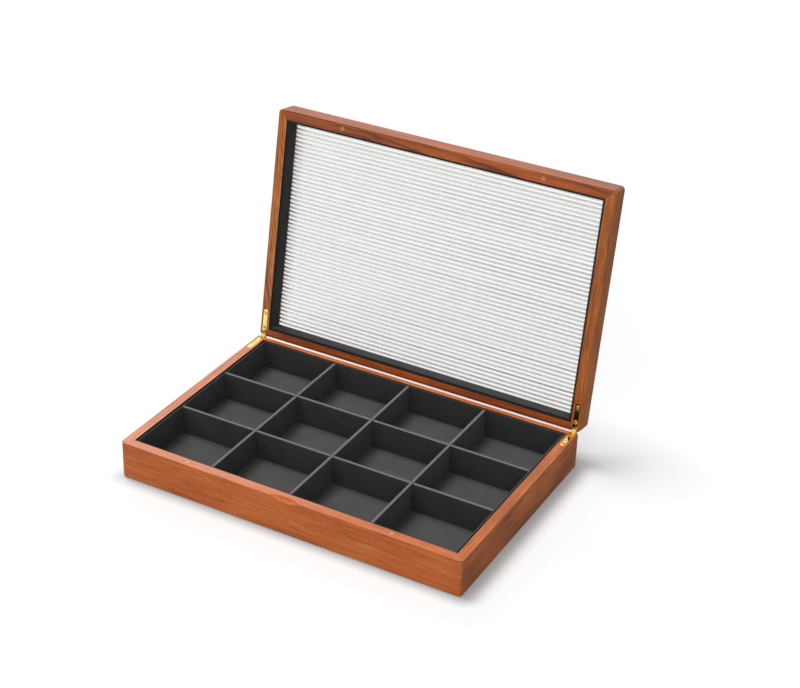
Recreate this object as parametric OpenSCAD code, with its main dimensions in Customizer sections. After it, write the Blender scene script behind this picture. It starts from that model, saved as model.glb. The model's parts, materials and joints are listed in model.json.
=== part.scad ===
// Shallow wooden display box with a hinged, see-through reeded lid and a lined tray of twelve compartments.
// Millimetres. X runs left to right, Y front to rear and Z up; the origin is the centre of the underside.

/* [Case] */
// Width of the closed case, left to right
case_w = 360; // [280:1:460]
// Depth of the closed case, front to rear
case_d = 242; // [190:1:310]
// Height of the base
base_h = 38.5; // [32:0.5:60]
// Height of the lid
lid_h = 22.8; // [20:0.2:32]
// Gap between the two rims when the lid is closed
closing_gap = 0.2; // [0.1:0.05:0.4]
// Thickness of the base walls
wall_t = 9.6; // [9:0.2:14]
// Width of the lid rails
rail_w = 9.8; // [8.6:0.2:16]
// Radius of the upright outer corners, seen from above
corner_r = 4; // [2.6:0.2:6]
// Radius along the outer edges of the underside and of the lid's top
edge_r = 1.8; // [0.8:0.2:2.4]
// Bevel along the rear edge of both rims, which makes room for the hinge pivots
rear_bevel = 4.5; // [3.6:0.1:5]

/* [Bottom board] */
// Thickness of the bottom board
board_t = 5; // [3:0.5:6]
// Width of the rebate that the board sits in
rebate_w = 4.8; // [3:0.2:6]
// Play around the board in its rebate
board_play = 0.2; // [0.1:0.1:0.5]

/* [Tray] */
// Thickness of the covered tray floor
floor_t = 3.5; // [2:0.5:5]
// Thickness of the covered liner walls
liner_t = 1.6; // [1.2:0.1:3.4]
// Play between the tray and the left and right walls
tray_side_play = 1.4; // [0.2:0.1:2]
// Play between the tray and the front and rear walls
tray_end_play = 0.2; // [0.1:0.1:0.8]
// How far the tray's top edges lie below the base rim
tray_drop = 0.7; // [0.3:0.1:3]
// Thickness of the dividers
divider_t = 2.8; // [2:0.1:4]
// Slack beside each divider where two of them cross
lap_slack = 0.5; // [0.2:0.1:0.8]

/* [Lid panel] */
// Thickness of the clear panel behind its reeds
sheet_t = 3; // [2:0.2:4]
// Height of one reed
reed_h = 0.9; // [0.4:0.1:1.4]
// Distance from reed to reed
reed_pitch = 4.3; // [3:0.1:8]
// Flat valley between two reeds
reed_gap = 0.2; // [0.1:0.05:1]
// Depth of the groove that holds the panel
groove_d = 5; // [3:0.5:6]
// Play of the panel in the groove's thickness
groove_play = 0.2; // [0.1:0.1:0.4]
// Play between the panel's edge and the bottom of the groove
panel_play = 0.3; // [0.1:0.1:1]
// Wood left on the lid's outside, over the panel's edge
lip_t = 3.3; // [2.5:0.1:5]
// Thickness of the lid's lining boards
lining_t = 2.4; // [0.8:0.1:3]
// Bare strip between the lid's rim and the lining
lining_set = 1.5; // [0.5:0.1:5]

/* [Hinges] */
// Length of one hinge leaf, measured from the rear face of the case
hinge_l = 31; // [26:0.5:40]
// Width of the hinges
hinge_w = 5; // [4.2:0.2:5.4]
// Distance from the side face of the case to the middle of the hinge
hinge_set = 4.7; // [4:0.1:5]
// Thickness of a leaf
leaf_t = 2; // [1.6:0.1:2.2]
// Play around a leaf in its mortise
leaf_play = 0.1; // [0.05:0.05:0.2]
// Distance from the rear face of the case to the pivot
pivot_set = 2; // [1.6:0.1:2.4]
// Angle of the open lid
open_angle = 99.6; // [92:0.2:104]
// Radius of the hinge pin
pin_r = 0.75; // [0.5:0.05:0.9]
// Running clearance around the pin
pin_clearance = 0.04; // [0.02:0.01:0.08]
// Width of the tongue between the two ears
tongue_w = 2; // [1.4:0.1:2.4]
// Clearance on each side of the tongue
tongue_clearance = 0.15; // [0.1:0.05:0.3]
// Height of the toe that stops the lid
toe_h = 1.6; // [1.2:0.1:1.8]
// Gap left at the stop
stop_clearance = 0.02; // [0.01:0.01:0.05]
// Room around the turning knuckle
knuckle_room = 0.3; // [0.2:0.1:0.6]

/* [Screws] */
// Distance from the rear face to the front screw of a leaf
screw_front = 26.7; // [22:0.1:27.5]
// Distance from the rear face to the rear screw of a leaf
screw_rear = 11.3; // [9:0.1:14]
// Radius of a screw head
head_r = 1.9; // [1.5:0.1:2]
// Radius of a screw shank
shank_r = 0.9; // [0.7:0.1:1.1]
// Height of the countersunk head
head_h = 1; // [0.7:0.1:1.2]
// Length of a screw
screw_l = 9; // [7:0.5:12]

/* [Magnets] */
// Radius of the magnets
magnet_r = 2.2; // [1.5:0.1:3]
// Depth of the magnets
magnet_h = 4; // [2:0.5:6]
// Distance between the left and the right magnet
magnet_span = 215; // [150:1:250]
// Distance from the front face to the middle of the magnets
magnet_set = 5; // [4.4:0.1:5.5]

/* [Thumb scoop] */
// Length of the scoop along the base's front edge
scoop_l = 32; // [20:1:50]
// Radius of the scoop's hollow, and its depth in the rim and in the front face
scoop_deep = 3.8; // [2:0.1:4.5]

/* [Hidden] */

$fn = 64;
wood = "#b0653a";
black_cloth = "#2a2b2d";
grey_cloth = "#3c3e41";
polished_brass = "#e2c25a";
bright_steel = "#b9bcc0";
clear_acrylic = [0.93, 0.95, 0.96, 0.4];

// Overrun of cutting shapes past the faces that they cut
over = 1;
// Depth of the 45 degree ends of the frame pieces, more than any wall or rail is wide
mitre_reach = max(wall_t, rail_w) + 10;

// Base interior
inner_w = case_w - 2 * wall_t;
inner_d = case_d - 2 * wall_t;

// Tray
tray_w = inner_w - 2 * tray_side_play;
tray_d = inner_d - 2 * tray_end_play;
tray_inner_w = tray_w - 2 * liner_t;
tray_inner_d = tray_d - 2 * liner_t;
tray_floor_z = board_t + floor_t;
tray_top_z = base_h - tray_drop;
tray_wall_h = tray_top_z - tray_floor_z;
lap_h = tray_wall_h / 2;
long_divider_pitch = (tray_inner_w + divider_t) / 4;
cross_divider_pitch = (tray_inner_d + divider_t) / 3;

// Lid, drawn closed and then opened about the pivot
lid_z = base_h + closing_gap;
opening_w = case_w - 2 * rail_w;
opening_d = case_d - 2 * rail_w;
panel_w = opening_w + 2 * (groove_d - panel_play);
panel_d = opening_d + 2 * (groove_d - panel_play);
groove_h = sheet_t + reed_h + groove_play;
groove_z = lid_z + lid_h - lip_t - groove_h;
reed_radius = (pow((reed_pitch - reed_gap) / 2, 2) + pow(reed_h, 2)) / (2 * reed_h);
reed_count = floor(panel_d / reed_pitch);
lining_h = groove_z - lid_z - lining_set;

// Hinges
pivot_y = case_d / 2 - pivot_set;
pivot_z = base_h + closing_gap / 2;
hinge_x = case_w / 2 - hinge_set;
leaf_reach = hinge_l - pivot_set;
knuckle_r = leaf_t + closing_gap / 2;
toe_reach = sqrt(pow(knuckle_r, 2) + pow(toe_h, 2));

// Scoop
scoop_r = (pow(scoop_l / 2, 2) - pow(scoop_deep, 2)) / (2 * scoop_deep);

// Rectangle with round corners, centred
module plan(w, d, r) {
    square([w - 2 * r, d], center = true);
    square([w, d - 2 * r], center = true);
    for (x = [-1, 1], y = [-1, 1])
        translate([x * (w / 2 - r), y * (d / 2 - r)])
            circle(r);
}

// Half section of a disc whose upper edge is rounded
module soft_edge_section(reach) {
    intersection() {
        square([reach, edge_r]);
        union() {
            square([reach - edge_r, edge_r]);
            translate([reach - edge_r, 0])
                circle(edge_r);
        }
    }
}

// Block of the case's outline with its upper outer edge rounded
module soft_block(h) {
    linear_extrude(h - edge_r)
        plan(case_w, case_d, corner_r);
    linear_extrude(h)
        plan(case_w - 2 * edge_r, case_d - 2 * edge_r, corner_r - edge_r);
    translate([0, 0, h - edge_r])
        for (s = [-1, 1]) {
            for (t = [-1, 1])
                translate([s * (case_w / 2 - corner_r), t * (case_d / 2 - corner_r), 0])
                    rotate_extrude()
                        soft_edge_section(corner_r);
            translate([0, s * (case_d / 2 - edge_r), 0])
                rotate([0, 90, 0])
                    cylinder(r = edge_r, h = case_w - 2 * corner_r, center = true);
            translate([s * (case_w / 2 - edge_r), 0, 0])
                rotate([90, 0, 0])
                    cylinder(r = edge_r, h = case_d - 2 * corner_r, center = true);
        }
}

// Keeps the piece of a frame that lies on one side, cut at 45 degrees at both ends
module one_side(turn, length, across) {
    intersection() {
        children();
        rotate(turn)
            linear_extrude(lid_z + lid_h + over)
                polygon([
                    [-length / 2 - over, -across / 2 - over],
                    [length / 2 + over, -across / 2 - over],
                    [length / 2 - mitre_reach, -across / 2 + mitre_reach],
                    [-length / 2 + mitre_reach, -across / 2 + mitre_reach]
                ]);
    }
}

module front_side() one_side(0, case_w, case_d) children();
module rear_side() one_side(180, case_w, case_d) children();
module left_side() one_side(-90, case_d, case_w) children();
module right_side() one_side(90, case_d, case_w) children();

// Prism that bevels the rear edge of a rim at height z, below it or above it
module rear_bevel_cut(z, up) {
    slope = rear_bevel + over;
    translate([0, case_d / 2, z])
        rotate([90, 0, 90])
            linear_extrude(case_w + 2 * over, center = true)
                polygon([[-rear_bevel, 0], [over, up * slope], [over, -up * over], [-rear_bevel, -up * over]]);
}

module at_hinge(side) {
    translate([side * hinge_x, pivot_y, pivot_z])
        children();
}

module along_x() {
    rotate([0, 90, 0])
        children();
}

// Turns a piece drawn on the closed lid to the open lid
module opened() {
    translate([0, pivot_y, pivot_z])
        rotate([-open_angle, 0, 0])
            translate([0, -pivot_y, -pivot_z])
                children();
}

// ---- Frame of the base ----

module base_shell() {
    difference() {
        translate([0, 0, base_h])
            mirror([0, 0, 1])
                soft_block(base_h);
        translate([-inner_w / 2, -inner_d / 2, -over])
            cube([inner_w, inner_d, base_h + 2 * over]);
        translate([-inner_w / 2 - rebate_w, -inner_d / 2 - rebate_w, -over])
            cube([inner_w + 2 * rebate_w, inner_d + 2 * rebate_w, board_t + over]);
        rear_bevel_cut(base_h, -1);
    }
}

// Room for a base leaf, its turning knuckle and its screws
module base_mortise(side) {
    at_hinge(side) {
        translate([0, 0, -knuckle_r])
            linear_extrude(knuckle_r + over)
                leaf_outline(hinge_w + 2 * leaf_play, leaf_reach + leaf_play, -pivot_set - over);
        translate([-hinge_w / 2 - leaf_play, -toe_reach - knuckle_room, -toe_reach - knuckle_room])
            cube([
                hinge_w + 2 * leaf_play,
                toe_reach + knuckle_room + pivot_set + over,
                toe_reach + knuckle_room + over
            ]);
    }
    base_screw(side, screw_front);
    base_screw(side, screw_rear);
}

module base_magnet_bores() {
    for (side = [-1, 1])
        magnet(side, base_h - magnet_h);
}

// Ring whose round section hollows the front edge and runs out of it at both ends
module thumb_scoop() {
    translate([0, -case_d / 2, base_h])
        rotate([45, 0, 0])
            translate([0, 0, scoop_r])
                rotate([90, 0, 0])
                    rotate_extrude($fn = 180)
                        translate([scoop_r, 0])
                            circle(scoop_deep);
}

module base_front_wall() {
    color(wood)
        difference() {
            front_side()
                base_shell();
            base_magnet_bores();
            thumb_scoop();
        }
}

module base_rear_wall() {
    color(wood)
        difference() {
            rear_side()
                base_shell();
            base_mortise(-1);
            base_mortise(1);
        }
}

module base_left_wall() {
    color(wood)
        difference() {
            left_side()
                base_shell();
            base_mortise(-1);
        }
}

module base_right_wall() {
    color(wood)
        difference() {
            right_side()
                base_shell();
            base_mortise(1);
        }
}

module base_bottom_board() {
    board_w = inner_w + 2 * (rebate_w - board_play);
    board_d = inner_d + 2 * (rebate_w - board_play);
    color(black_cloth)
        translate([-board_w / 2, -board_d / 2, 0])
            cube([board_w, board_d, board_t]);
}

// ---- Tray ----

module tray_floor() {
    color(grey_cloth)
        translate([-tray_w / 2, -tray_d / 2, board_t])
            cube([tray_w, tray_d, floor_t]);
}

// Liner wall along the front (side -1) or the rear (side 1)
module long_liner(side) {
    color(grey_cloth)
        translate([-tray_w / 2, side * (tray_d - liner_t) / 2 - liner_t / 2, tray_floor_z])
            cube([tray_w, liner_t, tray_wall_h]);
}

// Liner wall at the left (side -1) or the right (side 1), between the other two
module short_liner(side) {
    color(grey_cloth)
        translate([side * (tray_w - liner_t) / 2 - liner_t / 2, -tray_inner_d / 2, tray_floor_z])
            cube([liner_t, tray_inner_d, tray_wall_h]);
}

module tray_front_liner() long_liner(-1);
module tray_rear_liner() long_liner(1);
module tray_left_liner() short_liner(-1);
module tray_right_liner() short_liner(1);

// Divider from front to rear, slotted from below where the cross dividers pass
module long_divider(place) {
    slot = divider_t + lap_slack;
    color(grey_cloth)
        translate([place * long_divider_pitch, 0, tray_floor_z])
            difference() {
                translate([-divider_t / 2, -tray_inner_d / 2, 0])
                    cube([divider_t, tray_inner_d, tray_wall_h]);
                for (side = [-1, 1])
                    translate([-divider_t, side * cross_divider_pitch / 2 - slot / 2, -over])
                        cube([2 * divider_t, slot, lap_h + over]);
            }
}

module left_long_divider() long_divider(-1);
module middle_long_divider() long_divider(0);
module right_long_divider() long_divider(1);

// Divider from left to right, slotted from above; the slack of each slot is on its right
module cross_divider(side) {
    color(grey_cloth)
        translate([0, side * cross_divider_pitch / 2, tray_floor_z])
            difference() {
                translate([-tray_inner_w / 2, -divider_t / 2, 0])
                    cube([tray_inner_w, divider_t, tray_wall_h]);
                for (place = [-1, 0, 1])
                    translate([place * long_divider_pitch - divider_t / 2, -divider_t, lap_h])
                        cube([divider_t + lap_slack, 2 * divider_t, lap_h + over]);
            }
}

module front_cross_divider() cross_divider(-1);
module rear_cross_divider() cross_divider(1);

// ---- Magnets ----

// Round magnet, standing on height z
module magnet(side, z) {
    translate([side * magnet_span / 2, -case_d / 2 + magnet_set, z])
        cylinder(r = magnet_r, h = magnet_h);
}

module base_left_magnet() color(bright_steel) magnet(-1, base_h - magnet_h);
module base_right_magnet() color(bright_steel) magnet(1, base_h - magnet_h);
module lid_left_magnet() color(bright_steel) opened() magnet(-1, lid_z);
module lid_right_magnet() color(bright_steel) opened() magnet(1, lid_z);

// ---- Hinges, drawn about their pivot with the leaves running forward ----

// Flat outline of a leaf, round at its front end, from that end to the line y = -rear
module leaf_outline(w, reach, rear) {
    translate([0, -reach + w / 2])
        circle(w / 2);
    translate([-w / 2, -reach + w / 2])
        square([w, reach - w / 2 - rear]);
}

// Countersunk screw with its head's flat face at z = 0 and its point below
module screw() {
    translate([0, 0, -head_h])
        cylinder(r1 = shank_r, r2 = head_r, h = head_h);
    translate([0, 0, -screw_l])
        cylinder(r = shank_r, h = screw_l - head_h);
}

module base_screw(side, from_rear) {
    translate([side * hinge_x, case_d / 2 - from_rear, base_h])
        screw();
}

module lid_screw(side, from_rear) {
    translate([side * hinge_x, case_d / 2 - from_rear, lid_z])
        mirror([0, 0, 1])
            screw();
}

// Leaf in the base: a plate that ends in two ears, whose end face between them stops the lid
module base_leaf(side) {
    ear_w = hinge_w / 2 - tongue_w / 2 - tongue_clearance;
    color(polished_brass)
        difference() {
            at_hinge(side)
                difference() {
                    union() {
                        translate([0, 0, -knuckle_r])
                            linear_extrude(leaf_t)
                                leaf_outline(hinge_w, leaf_reach, knuckle_r + stop_clearance);
                        for (s = [-1, 1])
                            translate([s * (hinge_w - ear_w) / 2, 0, 0]) {
                                along_x()
                                    cylinder(r = knuckle_r, h = ear_w, center = true);
                                translate([-ear_w / 2, -knuckle_r - over, -knuckle_r])
                                    cube([ear_w, knuckle_r + over, leaf_t]);
                            }
                    }
                    along_x()
                        cylinder(r = pin_r, h = 2 * hinge_w, center = true);
                }
            base_screw(side, screw_front);
            base_screw(side, screw_rear);
        }
}

// Leaf in the lid: a plate that ends in one tongue with the toe of the stop
module lid_leaf(side) {
    color(polished_brass)
        opened()
            difference() {
                at_hinge(side)
                    difference() {
                        union() {
                            translate([0, 0, closing_gap / 2])
                                linear_extrude(leaf_t)
                                    leaf_outline(hinge_w, leaf_reach, knuckle_r + knuckle_room);
                            along_x()
                                cylinder(r = knuckle_r, h = tongue_w, center = true);
                            translate([-tongue_w / 2, -knuckle_r - knuckle_room - over, closing_gap / 2])
                                cube([tongue_w, knuckle_r + knuckle_room + over, leaf_t]);
                            rotate([open_angle, 0, 0])
                                translate([-tongue_w / 2, -knuckle_r, -toe_h])
                                    cube([tongue_w, knuckle_r, toe_h]);
                        }
                        along_x()
                            cylinder(r = pin_r + pin_clearance, h = 2 * hinge_w, center = true);
                    }
                lid_screw(side, screw_front);
                lid_screw(side, screw_rear);
            }
}

module hinge_pin(side) {
    color(polished_brass)
        at_hinge(side)
            along_x()
                cylinder(r = pin_r, h = hinge_w, center = true);
}

module left_hinge_base_leaf() base_leaf(-1);
module right_hinge_base_leaf() base_leaf(1);
module left_hinge_lid_leaf() lid_leaf(-1);
module right_hinge_lid_leaf() lid_leaf(1);
module left_hinge_pin() hinge_pin(-1);
module right_hinge_pin() hinge_pin(1);
module left_base_front_screw() color(polished_brass) base_screw(-1, screw_front);
module left_base_rear_screw() color(polished_brass) base_screw(-1, screw_rear);
module right_base_front_screw() color(polished_brass) base_screw(1, screw_front);
module right_base_rear_screw() color(polished_brass) base_screw(1, screw_rear);
module left_lid_front_screw() color(polished_brass) opened() lid_screw(-1, screw_front);
module left_lid_rear_screw() color(polished_brass) opened() lid_screw(-1, screw_rear);
module right_lid_front_screw() color(polished_brass) opened() lid_screw(1, screw_front);
module right_lid_rear_screw() color(polished_brass) opened() lid_screw(1, screw_rear);

// ---- Frame of the lid ----

module lid_shell() {
    difference() {
        translate([0, 0, lid_z])
            soft_block(lid_h);
        translate([-opening_w / 2, -opening_d / 2, lid_z - over])
            cube([opening_w, opening_d, lid_h + 2 * over]);
        translate([-opening_w / 2 - groove_d, -opening_d / 2 - groove_d, groove_z])
            cube([opening_w + 2 * groove_d, opening_d + 2 * groove_d, groove_h]);
        rear_bevel_cut(lid_z, 1);
    }
}

// Room for a lid leaf, the base's ears and the screws
module lid_mortise(side) {
    at_hinge(side) {
        translate([0, 0, -over])
            linear_extrude(knuckle_r + over)
                leaf_outline(hinge_w + 2 * leaf_play, leaf_reach + leaf_play, -pivot_set - over);
        translate([-hinge_w / 2 - leaf_play, -knuckle_r - knuckle_room, -over])
            cube([
                hinge_w + 2 * leaf_play,
                knuckle_r + knuckle_room + pivot_set + over,
                knuckle_r + knuckle_room + over
            ]);
    }
    lid_screw(side, screw_front);
    lid_screw(side, screw_rear);
}

module lid_front_rail() {
    color(wood)
        opened()
            difference() {
                front_side()
                    lid_shell();
                for (side = [-1, 1])
                    magnet(side, lid_z);
            }
}

module lid_rear_rail() {
    color(wood)
        opened()
            difference() {
                rear_side()
                    lid_shell();
                lid_mortise(-1);
                lid_mortise(1);
            }
}

module lid_left_rail() {
    color(wood)
        opened()
            difference() {
                left_side()
                    lid_shell();
                lid_mortise(-1);
            }
}

module lid_right_rail() {
    color(wood)
        opened()
            difference() {
                right_side()
                    lid_shell();
                lid_mortise(1);
            }
}

// ---- Panel and lining of the lid ----

// Section of the panel across its reeds, reed tops on the line y = 0
module reeded_section() {
    translate([-panel_d / 2, reed_h])
        square([panel_d, sheet_t]);
    intersection() {
        translate([-reed_count * reed_pitch / 2, 0])
            square([reed_count * reed_pitch, reed_h + sheet_t / 2]);
        for (i = [0 : reed_count - 1])
            translate([(i + 0.5 - reed_count / 2) * reed_pitch, reed_radius])
                circle(reed_radius);
    }
}

module lid_reeded_panel() {
    color(clear_acrylic)
        opened()
            translate([0, 0, groove_z])
                rotate([90, 0, 90])
                    linear_extrude(panel_w, center = true)
                        reeded_section();
}

// Lining board along the front (side -1) or the rear (side 1)
module long_lining(side) {
    color(black_cloth)
        opened()
            translate([-opening_w / 2, side * (opening_d - lining_t) / 2 - lining_t / 2, lid_z + lining_set])
                cube([opening_w, lining_t, lining_h]);
}

// Lining board at the left (side -1) or the right (side 1), between the other two
module short_lining(side) {
    color(black_cloth)
        opened()
            translate([
                side * (opening_w - lining_t) / 2 - lining_t / 2,
                -opening_d / 2 + lining_t,
                lid_z + lining_set
            ])
                cube([lining_t, opening_d - 2 * lining_t, lining_h]);
}

module lid_front_lining() long_lining(-1);
module lid_rear_lining() long_lining(1);
module lid_left_lining() short_lining(-1);
module lid_right_lining() short_lining(1);

base_front_wall();
base_rear_wall();
base_left_wall();
base_right_wall();
base_bottom_board();
tray_floor();
tray_front_liner();
tray_rear_liner();
tray_left_liner();
tray_right_liner();
left_long_divider();
middle_long_divider();
right_long_divider();
front_cross_divider();
rear_cross_divider();
base_left_magnet();
base_right_magnet();
left_hinge_base_leaf();
left_hinge_pin();
left_base_front_screw();
left_base_rear_screw();
right_hinge_base_leaf();
right_hinge_pin();
right_base_front_screw();
right_base_rear_screw();
lid_front_rail();
lid_rear_rail();
lid_left_rail();
lid_right_rail();
lid_reeded_panel();
lid_front_lining();
lid_rear_lining();
lid_left_lining();
lid_right_lining();
lid_left_magnet();
lid_right_magnet();
left_hinge_lid_leaf();
left_lid_front_screw();
left_lid_rear_screw();
right_hinge_lid_leaf();
right_lid_front_screw();
right_lid_rear_screw();
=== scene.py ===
import json
import math

import bmesh
import bpy
from mathutils import Matrix, Vector

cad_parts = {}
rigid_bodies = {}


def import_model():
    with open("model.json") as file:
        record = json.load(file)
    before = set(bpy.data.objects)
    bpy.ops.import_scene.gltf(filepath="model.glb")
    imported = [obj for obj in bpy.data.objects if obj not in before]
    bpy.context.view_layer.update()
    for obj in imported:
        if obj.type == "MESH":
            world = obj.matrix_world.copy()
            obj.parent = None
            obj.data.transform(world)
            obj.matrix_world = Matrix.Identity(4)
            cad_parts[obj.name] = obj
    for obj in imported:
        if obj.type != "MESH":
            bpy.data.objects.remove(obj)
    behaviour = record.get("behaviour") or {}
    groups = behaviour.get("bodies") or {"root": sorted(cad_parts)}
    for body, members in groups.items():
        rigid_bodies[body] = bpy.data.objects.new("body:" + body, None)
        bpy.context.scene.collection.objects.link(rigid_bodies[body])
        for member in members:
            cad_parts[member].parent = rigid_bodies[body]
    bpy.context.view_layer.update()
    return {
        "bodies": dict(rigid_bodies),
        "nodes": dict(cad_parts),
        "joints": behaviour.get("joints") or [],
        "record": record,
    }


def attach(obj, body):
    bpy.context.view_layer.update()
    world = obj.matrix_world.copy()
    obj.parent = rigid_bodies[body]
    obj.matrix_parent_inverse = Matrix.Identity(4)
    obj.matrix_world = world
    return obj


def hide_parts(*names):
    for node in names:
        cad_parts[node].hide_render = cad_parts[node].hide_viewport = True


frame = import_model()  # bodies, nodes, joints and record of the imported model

mm = 0.001

lidJoint = frame["joints"][0]
lidPivot = Vector(lidJoint["pos_m"])
lidAngle = math.radians(lidJoint["range_deg"][1])  # the lid rests open, and this closes it
openLid = (Matrix.Translation(lidPivot) @ Matrix.Rotation(-lidAngle, 4, "X")
           @ Matrix.Translation(-lidPivot))
closeLid = openLid.inverted()
bodyOf = {node: body
          for body, nodes in frame["record"]["behaviour"]["bodies"].items() for node in nodes}


def closedBox(node):  # lowest and highest corner of a node with the lid closed
    turn = closeLid if bodyOf[node] == "lid" else Matrix.Identity(4)
    places = [turn @ vertex.co for vertex in frame["nodes"][node].data.vertices]
    low = Vector([min(place[axis] for place in places) for axis in range(3)])
    high = Vector([max(place[axis] for place in places) for axis in range(3)])
    return low, high


def linear(hexColour):  # sRGB hex to the linear colour that a shader takes
    channels = [int(hexColour[start:start + 2], 16) / 255 for start in (1, 3, 5)]
    return [c / 12.92 if c <= 0.04045 else ((c + 0.055) / 1.055) ** 2.4 for c in channels] + [1.0]


# One node with its settings and inputs. A node given as an input links its first output.
def add(tree, kind, inputs, **settings):
    node = tree.nodes.new(kind)
    for name, value in settings.items():
        if name == "stops":
            while len(node.color_ramp.elements) < len(value):
                node.color_ramp.elements.new(0.5)
            for element, (place, colour) in zip(node.color_ramp.elements, value):
                element.position = place
                element.color = colour
        else:
            setattr(node, name, value)
    for key, value in inputs.items():
        if isinstance(value, bpy.types.Node):
            value = value.outputs[0]
        if isinstance(value, bpy.types.NodeSocket):
            tree.links.new(value, node.inputs[key])
        else:
            node.inputs[key].default_value = value
    return node


def intoScene(name, data):
    thing = bpy.data.objects.new(name, data)
    bpy.context.scene.collection.objects.link(thing)
    return thing


def newMaterial(name):
    material = bpy.data.materials.new(name)
    material.use_nodes = True
    material.node_tree.nodes.clear()
    return material, material.node_tree


# The camera stands in front of the box, to its right, and looks down on it.

cameraView = {
    "position": (0.7244, -1.2633, 0.9755),
    "yaw": 29.08,  # degrees, to the left
    "pitch": 29.83,  # degrees, down
    "roll": 1.35,
    "focalPixels": 1833.6,
    "axisPixel": (374.5, 343.4),  # where the lens axis meets the picture
    "pictureSize": (800, 688),
    "sensorWidth": 36,  # millimetres
}


def placeCamera(view):
    width, height = view["pictureSize"]
    lens = bpy.data.cameras.new("camera")
    lens.sensor_width = view["sensorWidth"]
    lens.lens = view["focalPixels"] / width * lens.sensor_width
    lens.shift_x = (width / 2 - view["axisPixel"][0]) / width
    lens.shift_y = (view["axisPixel"][1] - height / 2) / width
    turn = (Matrix.Rotation(math.radians(view["yaw"]), 4, "Z")
            @ Matrix.Rotation(math.radians(90 - view["pitch"]), 4, "X")
            @ Matrix.Rotation(math.radians(view["roll"]), 4, "Z"))
    camera = intoScene("camera", lens)
    camera.matrix_world = Matrix.Translation(view["position"]) @ turn
    bpy.context.scene.camera = camera


placeCamera(cameraView)
print("camera placed")


# Studio: a pale floor, four soft lamps and a white surround that is brightest overhead.

studio = {
    "floorSize": 30.0,  # metres
    "floorDrop": 0.1 * mm,  # keeps the floor clear of the underside
    "floorColour": "#F5F7F8",
    "floorLift": 0.15,  # share of plain white in what is seen of the floor
    "floorPaintedReflection": "#3C3C3C",  # painted reflection: in gloss and brass the pale floor shows this dark grey, but for a pale strip
    "paintedStripMiddle": -0.385,  # middle of the pale strip in that painted reflection, in metres across from the box's middle
    "paintedStripHalf": 0.115,  # half the painted strip's width
    "floorPaintedShadow": "#C4D0D3",  # painted shadow: darker and cooler right beside the box
    "paintedShadowReach": 15 * mm,
    "surroundTowards": (-0.15, 0.10, 0.95),  # where the surround is brightest
    "surroundBright": 0.27,
    "surroundDim": 0.05,
    "surroundEdge": -0.3,  # dim from here on, from 1 at the brightest place to -1 opposite it
}
# Each lamp's strength, the way its light travels and its width in degrees. The sheen lamp shows only
# in gloss and brass, and the others only light.
lamps = {
    "key": {"strength": 0.66, "towards": (0.32, -0.06, -0.94), "spread": 24, "gloss": False},
    "fill": {"strength": 0.39, "towards": (-0.05, 0.85, -0.53), "spread": 80, "gloss": False},
    "rim": {"strength": 0.15, "towards": (0.60, -0.62, -0.50), "spread": 40, "gloss": False},
    "sheen": {"strength": 0.33, "towards": (0.62, -0.53, -0.585), "spread": 24, "gloss": True},
}


def sunLamp(name, look):
    lamp = bpy.data.lights.new(name, "SUN")
    lamp.energy = look["strength"] * math.pi  # at 1 a colour facing it shows as written
    lamp.angle = math.radians(look["spread"])
    holder = intoScene(name, lamp)
    holder.rotation_euler = Vector(look["towards"]).to_track_quat("-Z", "Y").to_euler()
    holder.visible_transmission = False  # no bright specks through the reeds or in them
    holder.visible_glossy = look["gloss"]
    holder.visible_diffuse = not look["gloss"]


def seenPlainly(tree, ray):  # 1 for what is seen directly, in a mirror or through the acrylic
    seen = add(tree, "ShaderNodeMath", {
        0: ray.outputs["Is Camera Ray"], 1: ray.outputs["Is Glossy Ray"]}, operation="MAXIMUM")
    return add(tree, "ShaderNodeMath", {
        0: seen, 1: ray.outputs["Is Transmission Ray"]}, operation="MAXIMUM")


def whiteSurround(look):
    world = bpy.data.worlds.new("surround")
    world.use_nodes = True
    tree = world.node_tree
    tree.nodes.clear()
    seen = seenPlainly(tree, add(tree, "ShaderNodeLightPath", {}))
    way = add(tree, "ShaderNodeVectorMath", {
        0: add(tree, "ShaderNodeTexCoord", {}).outputs["Generated"],
        1: Vector(look["surroundTowards"]).normalized()}, operation="DOT_PRODUCT")
    side = add(tree, "ShaderNodeMapRange", {
        "Value": way.outputs["Value"], "From Min": look["surroundEdge"], "From Max": 1.0,
        "To Min": look["surroundDim"], "To Max": look["surroundBright"]})
    strength = add(tree, "ShaderNodeMix", {0: seen, 2: side, 3: 1.0})
    light = add(tree, "ShaderNodeBackground", {"Color": linear("#FFFFFF"), "Strength": strength})
    add(tree, "ShaderNodeOutputWorld", {"Surface": light})
    bpy.context.scene.world = world


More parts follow.
